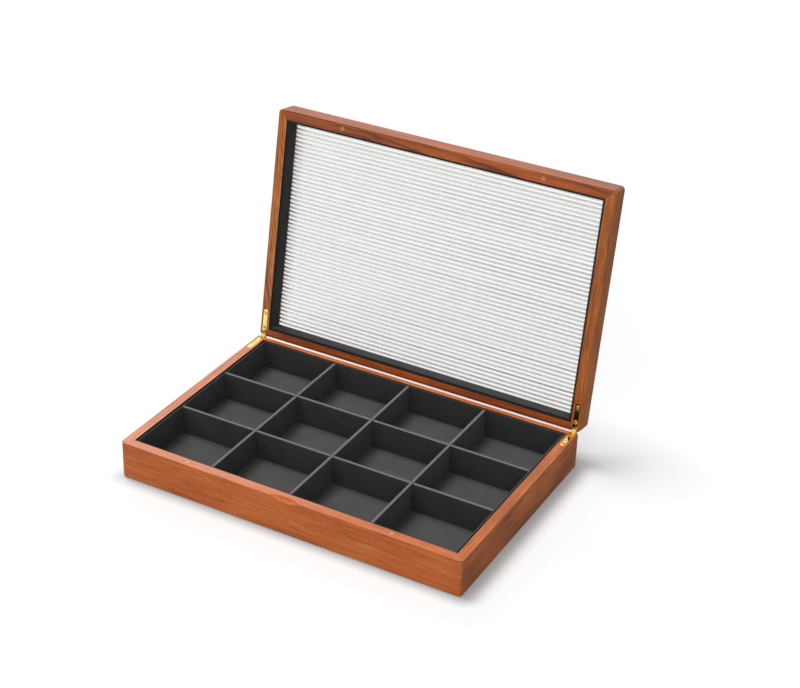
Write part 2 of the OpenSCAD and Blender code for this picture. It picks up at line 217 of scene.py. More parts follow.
def paleFloor(look):
    mesh = bpy.data.meshes.new("floor")
    work = bmesh.new()
    bmesh.ops.create_grid(work, x_segments=1, y_segments=1, size=look["floorSize"] / 2)
    bmesh.ops.translate(work, vec=(0, 0, -look["floorDrop"]), verts=work.verts)
    work.to_mesh(mesh)
    work.free()
    material, tree = newMaterial("matt white paper floor")  # no gloss; it shows the soft cast shadow, a painted shadow beside the box and a painted reflection in mirrors
    ray = add(tree, "ShaderNodeLightPath", {})
    seen = seenPlainly(tree, ray)
    lift = add(tree, "ShaderNodeMath", {0: seen, 1: look["floorLift"]}, operation="MULTIPLY")

    # painted shadow: darker and cooler within a short reach of the box's sides; the cool tint also
    # offsets the warm light the wood bounces onto the floor
    place = add(tree, "ShaderNodeTexCoord", {}).outputs["Object"]
    beyond = add(tree, "ShaderNodeVectorMath", {0: place}, operation="ABSOLUTE")
    beyond = add(tree, "ShaderNodeVectorMath", {
        0: beyond, 1: -closedBox("base_front_wall")[0]}, operation="SUBTRACT")
    beyond = add(tree, "ShaderNodeVectorMath", {0: beyond, 1: (0, 0, 0)}, operation="MAXIMUM")
    beyond = add(tree, "ShaderNodeVectorMath", {0: beyond}, operation="LENGTH").outputs["Value"]
    paintedShadow = add(tree, "ShaderNodeMapRange", {
        "Value": beyond, "From Max": look["paintedShadowReach"], "To Min": 1.0, "To Max": 0.0})
    tint = add(tree, "ShaderNodeMix", {
        0: paintedShadow, 6: linear(look["floorColour"]), 7: linear(look["floorPaintedShadow"])},
        data_type="RGBA").outputs[2]

    # painted reflection: dark in mirrors, but for the painted pale strip; a ray through the acrylic
    # counts as glossy, so it comes off
    paintedReflectionMask = add(tree, "ShaderNodeMath", {
        0: ray.outputs["Is Glossy Ray"], 1: ray.outputs["Is Transmission Ray"]},
        operation="SUBTRACT", use_clamp=True)
    across = add(tree, "ShaderNodeSeparateXYZ", {"Vector": place}).outputs["X"]
    paintedStrip = add(tree, "ShaderNodeMath", {
        0: across, 1: look["paintedStripMiddle"], 2: look["paintedStripHalf"]}, operation="COMPARE")
    paintedReflectionMask = add(tree, "ShaderNodeMath", {
        0: paintedReflectionMask, 1: paintedStrip}, operation="SUBTRACT", use_clamp=True)
    tint = add(tree, "ShaderNodeMix", {
        0: paintedReflectionMask, 6: tint, 7: linear(look["floorPaintedReflection"])}, data_type="RGBA")
    paper = add(tree, "ShaderNodeBsdfDiffuse", {"Color": tint.outputs[2]})
    white = add(tree, "ShaderNodeEmission", {"Color": linear("#FFFFFF"), "Strength": 1.0})
    surface = add(tree, "ShaderNodeMixShader", {0: lift, 1: paper, 2: white})
    add(tree, "ShaderNodeOutputMaterial", {"Surface": surface})
    mesh.materials.append(material)
    intoScene("floor", mesh)


whiteSurround(studio)
paleFloor(studio)
for name, look in lamps.items():
    sunLamp(name, look)
bpy.context.scene.view_settings.view_transform = "Standard"
print("studio lit")


# Cherry, planed and finished with a satin lacquer: warm red-brown, with fine long streaks, faint
# growth lines and a soft gloss.

cherryLook = {
    "dark": "#6E3413",  # late wood
    "middle": "#C45F18",
    "light": "#D68A52",  # early wood
    "toneStops": (0.1, 0.5, 0.9),  # where the tone is dark, middle and light
    "pore": "#5E2A10",
    "stain": "#2A0D04",  # painted shade on the inner faces, where shade falls between wood and lining
    "stainReach": 0.12 * mm,
    "ringWidth": 3.2 * mm,  # one year's growth
    "ringStops": ((0.0, 0.62), (0.55, 0.55), (0.9, 0.0), (1.0, 0.62)),  # dark late in the year
    "yearsUneven": 3.0,  # how many years' growth good and bad spells add or take
    "spellsPerYear": 0.45,
    "waverLength": 110 * mm,
    "waverWidth": 26 * mm,
    "patterns": {  # length, width and detail of each
        "patch": (150 * mm, 18 * mm, 1.0),  # where the growth lines show
        "streak": (60 * mm, 2.2 * mm, 3.0),
        "fibre": (13 * mm, 0.9 * mm, 3.0),  # bundles, as single fibres are too fine to show
        "cloud": (68 * mm, 34 * mm, 1.0),  # slow changes of tone
        "pore": (3.5 * mm, 0.3 * mm, 0.0),
    },
    "patternRoughness": 0.55,
    "depths": {"streak": 0.75, "fibre": 0.60, "cloud": 0.60},  # how much each moves the tone
    "patchFrom": 0.40,  # the growth lines start to show here and show fully at patchTo
    "patchTo": 0.66,
    "patchLeast": 0.25,
    "poreFrom": 0.70,  # higher values give fewer pores
    "poreTo": 0.76,
    "poreDepth": 0.45,
    "roughness": 0.42,
    "roughnessSwing": 0.08,
    "bumpStrength": 0.15,
    "bumpDepth": 0.05 * mm,
    "refraction": 1.5,
    "gloss": 0.55,  # specular level
}


def cherryGrain(look):  # node group: the wood at a place whose X runs along the grain
    group = bpy.data.node_groups.new("cherry grain", "ShaderNodeTree")
    taken = {
        "Place": "Vector", "Heart": "Vector", "Taper": "Float", "Waver": "Float", "Tone": "Float",
        "Contrast": "Float", "Figure": "Float", "Tint": "Color", "Painted shade": "Float"}
    for name, kind in taken.items():
        group.interface.new_socket(name, in_out="INPUT", socket_type="NodeSocket" + kind)
    for name, kind in {"Color": "Color", "Roughness": "Float", "Height": "Float"}.items():
        group.interface.new_socket(name, in_out="OUTPUT", socket_type="NodeSocket" + kind)
    given = add(group, "NodeGroupInput", {}).outputs

    # the boards' slow waver, shared by every pattern in them
    drift = add(group, "ShaderNodeMapping", {
        "Vector": given["Place"],
        "Scale": (1 / look["waverLength"], 1 / look["waverWidth"], 1 / look["waverWidth"])})
    drift = add(group, "ShaderNodeTexNoise", {
        "Vector": drift, "Scale": 1.0, "Detail": 2.0, "Roughness": look["patternRoughness"]})
    drift = add(group, "ShaderNodeVectorMath", {
        0: drift.outputs["Color"], 1: (0.5, 0.5, 0.5)}, operation="SUBTRACT")
    drift = add(group, "ShaderNodeVectorMath", {
        0: drift, "Scale": given["Waver"]}, operation="SCALE")
    bent = add(group, "ShaderNodeVectorMath", {0: given["Place"], 1: drift}, operation="ADD")

    # growth lines: distance from the heart of the log, one cycle a year
    spoke = add(group, "ShaderNodeVectorMath", {0: bent, 1: given["Heart"]}, operation="SUBTRACT")
    spoke = add(group, "ShaderNodeVectorMath", {0: spoke, 1: (0.0, 1.0, 1.0)}, operation="MULTIPLY")
    radius = add(group, "ShaderNodeVectorMath", {0: spoke}, operation="LENGTH").outputs["Value"]
    along = add(group, "ShaderNodeSeparateXYZ", {"Vector": bent}).outputs["X"]
    radius = add(group, "ShaderNodeMath", {
        0: along, 1: given["Taper"], 2: radius}, operation="MULTIPLY_ADD")
    year = add(group, "ShaderNodeMath", {0: radius, 1: look["ringWidth"]}, operation="DIVIDE")
    weather = add(group, "ShaderNodeTexNoise", {
        "W": year, "Scale": look["spellsPerYear"], "Detail": 2.0}, noise_dimensions="1D")
    year = add(group, "ShaderNodeMath", {
        0: weather, 1: look["yearsUneven"], 2: year}, operation="MULTIPLY_ADD")
    season = add(group, "ShaderNodeMath", {0: year}, operation="FRACT")
    ring = add(group, "ShaderNodeValToRGB", {"Fac": season}, stops=[
        (time, (grey, grey, grey, 1)) for time, grey in look["ringStops"]])

    # patterns stretched along the grain
    pattern = {}
    for name, (length, width, detail) in look["patterns"].items():
        stretched = add(group, "ShaderNodeMapping", {
            "Vector": bent, "Scale": (1 / length, 1 / width, 1 / width)})
        pattern[name] = add(group, "ShaderNodeTexNoise", {
            "Vector": stretched, "Scale": 1.0, "Detail": detail,
            "Roughness": look["patternRoughness"]})
    patch = add(group, "ShaderNodeMapRange", {
        "Value": pattern["patch"], "From Min": look["patchFrom"], "From Max": look["patchTo"],
        "To Min": look["patchLeast"], "To Max": 1.0})

    # the tone of the wood, from 0 for the darkest to 1 for the lightest
    tone = add(group, "ShaderNodeMath", {0: ring.outputs["Color"], 1: 0.5}, operation="SUBTRACT")
    tone = add(group, "ShaderNodeMath", {0: tone, 1: patch}, operation="MULTIPLY")
    tone = add(group, "ShaderNodeMath", {0: tone, 1: given["Figure"]}, operation="MULTIPLY")
    for name, depth in look["depths"].items():
        change = add(group, "ShaderNodeMath", {0: pattern[name], 1: 0.5}, operation="SUBTRACT")
        tone = add(group, "ShaderNodeMath", {
            0: change, 1: depth, 2: tone}, operation="MULTIPLY_ADD")
    tone = add(group, "ShaderNodeMath", {
        0: tone, 1: given["Contrast"], 2: given["Tone"]}, operation="MULTIPLY_ADD")
    woods = [linear(look[wood]) for wood in ("dark", "middle", "light")]
    colour = add(group, "ShaderNodeValToRGB", {"Fac": tone}, stops=list(zip(
        look["toneStops"], woods)))

    # dark pores, the board's own tint and the painted shade on the inner faces
    pore = add(group, "ShaderNodeMapRange", {
        "Value": pattern["pore"], "From Min": look["poreFrom"], "From Max": look["poreTo"],
        "To Min": 0.0, "To Max": look["poreDepth"]})
    colour = add(group, "ShaderNodeMix", {
        0: pore, 6: colour, 7: linear(look["pore"])}, data_type="RGBA").outputs[2]
    colour = add(group, "ShaderNodeMix", {
        0: 1.0, 6: colour, 7: given["Tint"]}, data_type="RGBA", blend_type="MULTIPLY").outputs[2]
    colour = add(group, "ShaderNodeMix", {
        0: given["Painted shade"], 6: colour, 7: linear(look["stain"])}, data_type="RGBA").outputs[2]
    rough = add(group, "ShaderNodeMapRange", {
        "Value": pattern["fibre"], "To Min": look["roughness"] - look["roughnessSwing"],
        "To Max": look["roughness"] + look["roughnessSwing"]})
    height = add(group, "ShaderNodeMath", {0: pattern["fibre"], 1: pore}, operation="SUBTRACT")
    add(group, "NodeGroupOutput", {"Color": colour, "Roughness": rough, "Height": height})
    return group


def lidClosed(tree, place):  # the lid's patterns are laid out with it closed
    return add(tree, "ShaderNodeMapping", {
        "Vector": place, "Rotation": closeLid.to_euler("XYZ"),
        "Location": closeLid.to_translation()})


def cherryMaterial(name, body, board, group):
    material, tree = newMaterial("satin lacquered cherry, " + name)
    closed = add(tree, "ShaderNodeTexCoord", {}).outputs["Object"]
    if body == "lid":
        closed = lidClosed(tree, closed)
    place = add(tree, "ShaderNodeMapping", {
        "Vector": closed, "Rotation": (0, 0, math.radians(-90 if board["alongY"] else 0)),
        "Location": board["cutFrom"]})

    # painted shade: the inner faces, up to the panel, are painted dark for the shade between wood
    # and lining
    across = add(tree, "ShaderNodeVectorMath", {0: closed}, operation="ABSOLUTE")
    across = add(tree, "ShaderNodeVectorMath", {
        0: across, 1: innerHalf[body]}, operation="SUBTRACT")
    across = add(tree, "ShaderNodeSeparateXYZ", {"Vector": across})
    inside = add(tree, "ShaderNodeMath", {
        0: across.outputs["X"], 1: across.outputs["Y"]}, operation="MAXIMUM")
    inside = add(tree, "ShaderNodeMath", {
        0: inside, 1: cherryLook["stainReach"]}, operation="LESS_THAN")
    up = add(tree, "ShaderNodeSeparateXYZ", {"Vector": closed}).outputs["Z"]
    under = add(tree, "ShaderNodeMath", {0: up, 1: panelTop}, operation="LESS_THAN")
    inside = add(tree, "ShaderNodeMath", {0: inside, 1: under}, operation="MULTIPLY")
    wood = add(tree, "ShaderNodeGroup", {}, node_tree=group)
    tree.links.new(place.outputs[0], wood.inputs["Place"])
    tree.links.new(inside.outputs[0], wood.inputs["Painted shade"])
    for key, value in board.items():
        if key in wood.inputs:
            wood.inputs[key].default_value = linear(value) if key == "Tint" else value
    bump = add(tree, "ShaderNodeBump", {
        "Height": wood.outputs["Height"], "Strength": cherryLook["bumpStrength"],
        "Distance": cherryLook["bumpDepth"]})
    lacquer = add(tree, "ShaderNodeBsdfPrincipled", {
        "Base Color": wood.outputs["Color"], "Roughness": wood.outputs["Roughness"], "Normal": bump,
        "IOR": cherryLook["refraction"], "Specular IOR Level": cherryLook["gloss"]})
    add(tree, "ShaderNodeOutputMaterial", {"Surface": lacquer})
    return material


# Cloth over board: a short brushed pile, near black, that turns grey where it is seen along its
# surface. Its fuzz is drawn in tufts, because single fibres are too fine to show.

allPiles = {
    "napShare": 0.5,  # how much the slow nap moves the tone, and then the fine fuzz
    "fuzzShare": 0.6,
    "toneShift": -0.05,
    "darkAt": 0.25,
    "lightAt": 0.75,
    "bumpStrength": 0.5,
    "roughness": 0.95,
    "gloss": 0.15,  # specular level
}


def pileMaterial(name, look):
    material, tree = newMaterial(name)
    place = add(tree, "ShaderNodeTexCoord", {}).outputs["Object"]
    nap = add(tree, "ShaderNodeTexNoise", {
        "Vector": place, "Scale": 1 / look["napSize"], "Detail": 3.0, "Roughness": 0.6})
    fuzz = add(tree, "ShaderNodeTexNoise", {
        "Vector": place, "Scale": 1 / look["fuzzSize"], "Detail": 2.0, "Roughness": 0.7})
    tone = add(tree, "ShaderNodeMath", {
        0: fuzz, 1: allPiles["fuzzShare"], 2: allPiles["toneShift"]}, operation="MULTIPLY_ADD")
    tone = add(tree, "ShaderNodeMath", {
        0: nap, 1: allPiles["napShare"], 2: tone}, operation="MULTIPLY_ADD")
    colour = add(tree, "ShaderNodeValToRGB", {"Fac": tone}, stops=[
        (allPiles["darkAt"], linear(look["dark"])), (allPiles["lightAt"], linear(look["light"]))])
    if "paintedTopSheen" in look:  # painted highlight: the pile is painted pale along the top of each board, where it catches the light
        height = add(tree, "ShaderNodeSeparateXYZ", {"Vector": place}).outputs["Z"]
        height = add(tree, "ShaderNodeMath", {
            0: fuzz, 1: look["paintedSheenFray"], 2: height}, operation="MULTIPLY_ADD")
        paintedTopSheen = add(tree, "ShaderNodeMapRange", {
            "Value": height, "From Min": trayTop - look["paintedSheenReach"],
            "From Max": trayTop - look["paintedSheenReach"] + look["paintedSheenFray"]})
        colour = add(tree, "ShaderNodeMix", {
            0: paintedTopSheen, 6: colour, 7: linear(look["paintedTopSheen"])}, data_type="RGBA").outputs[2]
    bump = add(tree, "ShaderNodeBump", {
        "Height": fuzz, "Strength": allPiles["bumpStrength"], "Distance": look["fuzzDepth"]})
    pile = add(tree, "ShaderNodeBsdfPrincipled", {
        "Base Color": colour, "Roughness": allPiles["roughness"], "Normal": bump,
        "Specular IOR Level": allPiles["gloss"], "Sheen Weight": look["sheen"],
        "Sheen Roughness": look["sheenRoughness"], "Sheen Tint": linear(look["sheenTint"])})
    add(tree, "ShaderNodeOutputMaterial", {"Surface": pile})
    return material


trayTop = closedBox("tray_front_liner")[1].z
floorPile = {
    "dark": "#404040", "light": "#575756", "napSize": 22 * mm,
    "fuzzSize": 0.45 * mm, "fuzzDepth": 0.12 * mm,
    "sheen": 0.45, "sheenRoughness": 0.45, "sheenTint": "#F0F0F0",
}
boardPile = {
    "dark": "#313132", "light": "#454545", "napSize": 22 * mm,
    "fuzzSize": 0.45 * mm, "fuzzDepth": 0.12 * mm,
    "sheen": 0.30, "sheenRoughness": 0.45, "sheenTint": "#F0F0F0",
    # painted highlight: the tops of the boards are painted pale where they catch the light
    "paintedTopSheen": "#6C6C6C", "paintedSheenReach": 0.5 * mm, "paintedSheenFray": 0.2 * mm,
}
# the liners' painted highlight along their tops is faint
linerPile = {**boardPile, "paintedTopSheen": "#383838"}
liningPile = {
    "dark": "#252626", "light": "#313131", "napSize": 18 * mm,
    "fuzzSize": 0.4 * mm, "fuzzDepth": 0.1 * mm,
    "sheen": 0.25, "sheenRoughness": 0.45, "sheenTint": "#E8E8E8",
}
feltPile = {
    "dark": "#17181A", "light": "#222326", "napSize": 9 * mm,
    "fuzzSize": 0.7 * mm, "fuzzDepth": 0.25 * mm,
    "sheen": 0.3, "sheenRoughness": 0.6, "sheenTint": "#D8DCE2",
}


# Acrylic, extruded with reeds: clear and faintly grey, bright where light passes, with painted shade
# along each valley: grey lines, darker towards the hinges and dark brown where they meet the lining.

reedLook = {
    "Reed height": 0.9 * mm,
    "Pitch": 4.3 * mm,
    "Valley": 0.2 * mm,  # flat width between two reeds
    "Steps": 43,  # across each reed
    "sharpFrom": 35,  # degrees between faces that meet in a crisp edge
}
acrylicLook = {
    "body": "#FAF9F8",
    "line": "#E8E8E6",  # painted shade along each valley, at the front of the lid and at the hinges
    "lineByHinges": "#B8B8B6",
    "end": "#2C1C14",  # painted shade where a valley meets the lining, dark brown for the shaded wood seen through it
    "lineHalf": 0.35 * mm,  # half the line's width, and what it widens to at its ends
    "endHalf": 1.7 * mm,
    "endReach": 8.5 * mm,
    "lineFull": 0.4,  # share of that half that has the line's full colour
    "lineRise": 1.2,  # how far into the sheet it goes, in reed heights
    "shadow": "#F2F4F4",  # tint of the light that comes through
    "smearSize": 40 * mm,  # wiped patches
    "roughLeast": 0.02,
    "roughMost": 0.14,
    "refraction": 1.49,
}


def acrylicMaterial(look, low, high):  # low and high: the closed panel's corners
    material, tree = newMaterial("clear reeded acrylic")
    place = add(tree, "ShaderNodeTexCoord", {}).outputs["Object"]
    closed = add(tree, "ShaderNodeSeparateXYZ", {"Vector": lidClosed(tree, place)})

    # distance from the nearest valley, counted as in the reeds' own tree
    count = math.floor((high.y - low.y) / reedLook["Pitch"])
    firstValley = (low.y + high.y) / 2 - count * reedLook["Pitch"] / 2
    valley = add(tree, "ShaderNodeMath", {
        0: closed.outputs["Y"], 1: firstValley}, operation="SUBTRACT")
    valley = add(tree, "ShaderNodeMath", {
        0: valley, 1: reedLook["Pitch"] / 2}, operation="PINGPONG")
    liningFace = -closedBox("lid_left_lining")[1].x
    aside = add(tree, "ShaderNodeMath", {0: closed.outputs["X"]}, operation="ABSOLUTE")
    # nearness to the lining, where the painted valley shade widens and turns dark brown
    end = add(tree, "ShaderNodeMapRange", {
        "Value": aside, "From Min": liningFace - look["endReach"], "From Max": liningFace})
    half = add(tree, "ShaderNodeMix", {0: end, 2: look["lineHalf"], 3: look["endHalf"]})
    valley = add(tree, "ShaderNodeMath", {0: valley, 1: half}, operation="DIVIDE")
    valley = add(tree, "ShaderNodeMapRange", {
        "Value": valley, "From Min": look["lineFull"], "From Max": 1.0,
        "To Min": 1.0, "To Max": 0.0})
    reeded = add(tree, "ShaderNodeMath", {
        0: closed.outputs["Z"], 1: low.z + reedLook["Reed height"] * look["lineRise"]},
        operation="LESS_THAN")
    valley = add(tree, "ShaderNodeMath", {0: valley, 1: reeded}, operation="MULTIPLY")

    # each valley's painted shade, darker from the front of the lid to the hinges, and dark brown
    # painted shade at its ends
    back = add(tree, "ShaderNodeMapRange", {
        "Value": closed.outputs["Y"], "From Min": low.y, "From Max": high.y})
    tint = add(tree, "ShaderNodeMix", {
        0: back, 6: linear(look["line"]), 7: linear(look["lineByHinges"])},
        data_type="RGBA").outputs[2]
    tint = add(tree, "ShaderNodeMix", {
        0: end, 6: tint, 7: linear(look["end"])}, data_type="RGBA").outputs[2]
    tint = add(tree, "ShaderNodeMix", {
        0: valley, 6: linear(look["body"]), 7: tint}, data_type="RGBA").outputs[2]

    smear = add(tree, "ShaderNodeTexNoise", {
        "Vector": place, "Scale": 1 / look["smearSize"], "Detail": 2.0})
    rough = add(tree, "ShaderNodeMapRange", {
        "Value": smear, "To Min": look["roughLeast"], "To Max": look["roughMost"]})
    clear = add(tree, "ShaderNodeBsdfPrincipled", {
        "Base Color": tint, "Roughness": rough, "IOR": look["refraction"],
        "Transmission Weight": 1.0})
    through = add(tree, "ShaderNodeBsdfTransparent", {"Color": linear(look["shadow"])})
    ray = add(tree, "ShaderNodeLightPath", {})
    surface = add(tree, "ShaderNodeMixShader", {
        0: ray.outputs["Is Shadow Ray"], 1: clear, 2: through})
    add(tree, "ShaderNodeOutputMaterial", {"Surface": surface})
    return material


# Brass, stamped, ground and buffed: it mirrors what is round it in yellow, with a trace of tarnish.

brassLook = {
    "leaf": ("#FFE08A", 0.05),  # colour and roughness
    "screw": ("#FFDC84", 0.12),
    "rubLength": 4 * mm,  # buffing marks, coarser than real ones so that they show
    "rubWidth": 0.25 * mm,
    "rubSwing": 0.4,  # how much they change the roughness
    "rubStrength": 0.05,
    "rubDepth": 0.01 * mm,
    "tarnishSize": 3 * mm,
    "tarnishShade": 0.88,
    "tarnishStops": (0.3, 0.6),
}


def brassMaterial(name, colour, roughness, look):
    material, tree = newMaterial(name)
    place = add(tree, "ShaderNodeTexCoord", {}).outputs["Object"]
    rub = add(tree, "ShaderNodeMapping", {
        "Vector": place,
        "Scale": (1 / look["rubWidth"], 1 / look["rubLength"], 1 / look["rubLength"])})
    rub = add(tree, "ShaderNodeTexNoise", {"Vector": rub, "Scale": 1.0, "Detail": 2.0})
    rough = add(tree, "ShaderNodeMapRange", {
        "Value": rub, "To Min": roughness * (1 - look["rubSwing"]),
        "To Max": roughness * (1 + look["rubSwing"])})
    tarnish = add(tree, "ShaderNodeTexNoise", {
        "Vector": place, "Scale": 1 / look["tarnishSize"], "Detail": 3.0})
    clean = linear(colour)
    dull = [channel * look["tarnishShade"] for channel in clean[:3]] + [1.0]
    tint = add(tree, "ShaderNodeValToRGB", {"Fac": tarnish}, stops=list(zip(
        look["tarnishStops"], (dull, clean))))
    bump = add(tree, "ShaderNodeBump", {
        "Height": rub, "Strength": look["rubStrength"], "Distance": look["rubDepth"]})
    metal = add(tree, "ShaderNodeBsdfPrincipled", {
        "Base Color": tint, "Metallic": 1.0, "Roughness": rough, "Normal": bump})
    add(tree, "ShaderNodeOutputMaterial", {"Surface": metal})
    return material


# Nickelled steel under the same satin lacquer as the wood: a small dull disc, warm from the stain.

magnetLook = {
    "dark": "#B07A4C",
    "light": "#C4946A",
    "speckSize": 0.8 * mm,
    "speckStops": (0.35, 0.7),
    "metallic": 0.15,  # the lacquer hides most of the metal
    "roughness": 0.45,
}


def magnetMaterial(look):
    material, tree = newMaterial("lacquered nickelled steel")
    place = add(tree, "ShaderNodeTexCoord", {}).outputs["Object"]
    speck = add(tree, "ShaderNodeTexNoise", {
        "Vector": place, "Scale": 1 / look["speckSize"], "Detail": 3.0})
    colour = add(tree, "ShaderNodeValToRGB", {"Fac": speck}, stops=list(zip(
        look["speckStops"], (linear(look["dark"]), linear(look["light"])))))
    disc = add(tree, "ShaderNodeBsdfPrincipled", {
        "Base Color": colour, "Metallic": look["metallic"], "Roughness": look["roughness"]})
    add(tree, "ShaderNodeOutputMaterial", {"Surface": disc})
    return material


print("materials made")


# Solids: each dressed piece starts as a merged copy of its CAD node, drawn with the lid closed.

solidLimits = {
    "merge": 0.002 * mm,  # corners this close are one
    "flat": 0.6,  # degrees between faces that are one
    "edge": 30,  # degrees from which an edge is eased
    "mitre": 0.02,  # how far a mitre's normal may be off
}


def solidOf(node):
    work = bmesh.new()
    work.from_mesh(frame["nodes"][node].data)
    if bodyOf[node] == "lid":
        bmesh.ops.transform(work, matrix=closeLid, verts=work.verts)
    bmesh.ops.remove_doubles(work, verts=work.verts, dist=solidLimits["merge"])
    flat = math.radians(solidLimits["flat"])
    bmesh.ops.dissolve_limit(work, angle_limit=flat, verts=work.verts, edges=work.edges)
    return work


def onMitre(face):  # the sawn end of a frame piece lies on the line from corner to corner
    middle = face.calc_center_median()
    outwards = Vector((math.copysign(1, middle.x), math.copysign(1, middle.y), 0)).normalized()
    offs = (face.normal.z, face.normal.dot(outwards))
    return all(abs(off) < solidLimits["mitre"] for off in offs)


def weighEdges(work, mitreShare):  # all on outer edges, a share on mitres, none on inner ones
    weight = work.edges.layers.float.new("bevel_weight_edge")
    sharp = math.radians(solidLimits["edge"])
    for edge in work.edges:
        edge.smooth = True
        if len(edge.link_faces) != 2 or edge.calc_face_angle() < sharp:
            continue
        if not edge.is_convex:
            edge.smooth = False
        elif any(onMitre(face) for face in edge.link_faces):
            edge[weight] = mitreShare
        else:
            edge[weight] = 1.0


def addPiece(name, mesh, body, replaced):
    piece = intoScene(name, mesh)
    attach(piece, body)
    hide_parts(*replaced)
    return piece


def dress(node, name, material, slot, edgeRadius, steps, mitreShare=1.0):
    work = solidOf(node)
    work.normal_update()
    weighEdges(work, mitreShare)
    if bodyOf[node] == "lid":
        bmesh.ops.transform(work, matrix=openLid, verts=work.verts)
    mesh = bpy.data.meshes.new(name)
    work.to_mesh(mesh)
    work.free()
    if "custom_normal" in mesh.attributes:
        mesh.attributes.remove(mesh.attributes["custom_normal"])
    mesh.materials.clear()
    mesh.materials.append(material)
    mesh.polygons.foreach_set("material_index", [0] * len(mesh.polygons))
    mesh.shade_smooth()
    piece = addPiece(name, mesh, bodyOf[node], [node])
    bevel = piece.modifiers.new("eased edges", "BEVEL")
    bevel.width = edgeRadius
    bevel.segments = steps
    bevel.limit_method = "WEIGHT"
    bevel.use_clamp_overlap = False
    bevel.harden_normals = True


# Eight boards, each sawn from its own place in the log, with the grain along its length.

boardEdge = {"radius": 0.28 * mm, "steps": 2, "mitreShare": 0.25}
panelTop = closedBox("lid_reeded_panel")[1].z  # the lip above it gets no painted shade and keeps the wood's own colour
innerHalf = {  # half the width and depth between the inner faces
    "base": (-closedBox("base_left_wall")[1].x, -closedBox("base_front_wall")[1].y, 0),
    "lid": (-closedBox("lid_left_rail")[1].x, -closedBox("lid_front_rail")[1].y, 0),
}
# cutFrom is the board's place in the pattern and Heart the middle of its log, both in metres. Taper
# and Waver bend the growth lines, Figure shows them, and Tone, Contrast and Tint are its colour.
boards = {
    "base_front_wall": {
        "alongY": False, "cutFrom": (0.31, 0.0, 0.0), "Heart": (0, -0.012, -0.09),
        "Taper": 0.018, "Waver": 6 * mm,
        "Tone": 0.51, "Contrast": 0.75, "Figure": 0.3, "Tint": "#FBFFFA"},
    "base_rear_wall": {
        "alongY": False, "cutFrom": (1.17, 0.2, 0.0), "Heart": (0, 0.22, -0.05),
        "Taper": 0.018, "Waver": 5 * mm,
        "Tone": 0.62, "Contrast": 0.8, "Figure": 0.34, "Tint": "#FFFFFF"},
    "base_left_wall": {
        "alongY": True, "cutFrom": (2.05, 0.0, 0.1), "Heart": (0, 0.02, 0.02),
        "Taper": 0.018, "Waver": 5 * mm,
        "Tone": 0.49, "Contrast": 1.1, "Figure": 0.5, "Tint": "#F2FFF6"},
    "base_right_wall": {
        "alongY": True, "cutFrom": (2.95, 0.0, 0.0), "Heart": (0, 0.09, 0.05),
        "Taper": 0.018, "Waver": 6 * mm,
        "Tone": 0.40, "Contrast": 1.1, "Figure": 0.4, "Tint": "#F0F9D8"},
    "lid_front_rail": {
        "alongY": False, "cutFrom": (3.52, 0.1, 0.0), "Heart": (0, 0.02, -0.06),
        "Taper": 0.030, "Waver": 7 * mm,
        "Tone": 0.31, "Contrast": 0.85, "Figure": 0.7, "Tint": "#F6F4CA"},
    "lid_rear_rail": {
        "alongY": False, "cutFrom": (4.77, 0.0, 0.2), "Heart": (0, 0.05, 0.12),
        "Taper": 0.018, "Waver": 6 * mm,
        "Tone": 0.33, "Contrast": 0.8, "Figure": 0.34, "Tint": "#F4FAF4"},
    "lid_left_rail": {
        "alongY": True, "cutFrom": (5.69, 0.0, 0.0), "Heart": (0, 0.13, 0.09),
        "Taper": 0.14, "Waver": 14 * mm,
        "Tone": 0.53, "Contrast": 1.2, "Figure": 0.8, "Tint": "#E8FFEA"},
    "lid_right_rail": {
        "alongY": True, "cutFrom": (6.58, 0.1, 0.0), "Heart": (0, -0.12, 0.08),
        "Taper": 0.03, "Waver": 9 * mm,
        "Tone": 0.42, "Contrast": 1.0, "Figure": 0.7, "Tint": "#ECFFF0"},
}
cherryTree = cherryGrain(cherryLook)
for node, board in boards.items():
    finish = cherryMaterial(node.replace("_", " "), bodyOf[node], board, cherryTree)
    dress(node, "cherry_" + node, finish, bodyOf[node] + "_wood",
          boardEdge["radius"], boardEdge["steps"], boardEdge["mitreShare"])
print("boards dressed")


# Cloth-covered boards of the tray and of the lid, with the soft edges of a wrapped board.

clothEdge = {
    "tray": 0.35 * mm, "divider": 0.45 * mm, "lining": 0.35 * mm, "underside": 0.8 * mm, "steps": 3}
floorCloth = pileMaterial("charcoal brushed cloth", floorPile)
boardCloth = pileMaterial("black brushed cloth, painted pale along its top", boardPile)
linerCloth = pileMaterial("black brushed cloth, faintly painted pale along its top", linerPile)
liningCloth = pileMaterial("black brushed cloth", liningPile)
feltCloth = pileMaterial("black felt", feltPile)
for node in frame["nodes"]:
    if node.endswith("_divider"):
        cloth, slot, radius = boardCloth, "tray_cloth", clothEdge["divider"]
    elif node == "tray_floor":
        cloth, slot, radius = floorCloth, "tray_cloth", clothEdge["tray"]
    elif node.startswith("tray_"):
        cloth, slot, radius = linerCloth, "tray_cloth", clothEdge["tray"]
    elif node.endswith("_lining"):
        cloth, slot, radius = liningCloth, "lid_lining", clothEdge["lining"]
    else:
        continue
    dress(node, "cloth_" + node, cloth, slot, radius, clothEdge["steps"])
dress("base_bottom_board", "felt_base_bottom_board", feltCloth, "bottom_cloth",
      clothEdge["underside"], clothEdge["steps"])
print("cloth boards dressed")


# Geometry Nodes: a tree is run once on a starting mesh and leaves a plain mesh behind.

